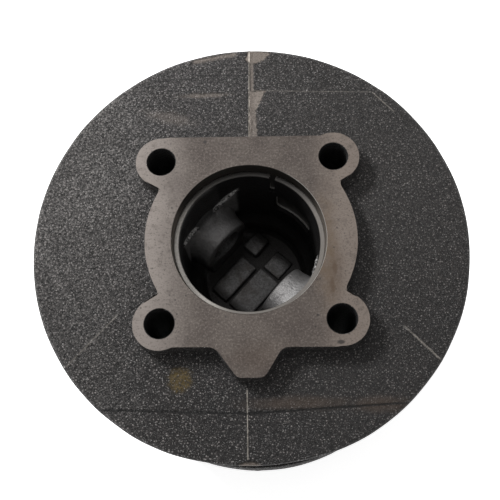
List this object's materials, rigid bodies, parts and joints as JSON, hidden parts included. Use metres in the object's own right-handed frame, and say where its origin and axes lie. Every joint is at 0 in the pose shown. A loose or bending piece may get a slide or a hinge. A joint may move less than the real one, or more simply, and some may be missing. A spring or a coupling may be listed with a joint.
{
  "type": "air-cooled engine cylinder with integral head and piston",
  "caption": "Finned cast-iron engine cylinder with its head cast in one piece, flanged for a crankcase, with a ringed piston sliding in the blind bore.",
  "frame": {"origin": "centre of the bore on the machined crankcase flange", "axes": "+Z out of the flange towards the crankcase, along the bore; +Y towards the exhaust port; +X towards the inlet port"},
  "size_m": [0.1372, 0.1372, 0.138],
  "materials": {
    "cast_iron": "rough casting, machined flange and bore",
    "piston_alloy": "cast inside, turned outside",
    "ring_iron": "ground",
    "cover_alloy": "rough casting",
    "gasket": "fibre",
    "screw_steel": "blackened"
  },
  "bodies": {
    "cylinder": {"cylinder_casting": "cast_iron", "transfer_cover": "cover_alloy", "cover_gasket": "gasket", "cover_screws": "screw_steel"},
    "rings": {"top_ring": "ring_iron", "second_ring": "ring_iron", "third_ring": "ring_iron"},
    "piston": {"piston": "piston_alloy"}
  },
  "joints": [
    {"name": "piston_slide", "type": "slide", "parent": "cylinder", "child": "rings", "axis": [0, 0, 1], "range_m": [-0.048, 0.006]},
    {"name": "piston_turn", "type": "hinge", "parent": "rings", "child": "piston", "pos_m": [0, 0, -0.034], "axis": [0, 0, 1], "continuous": true}
  ]
}
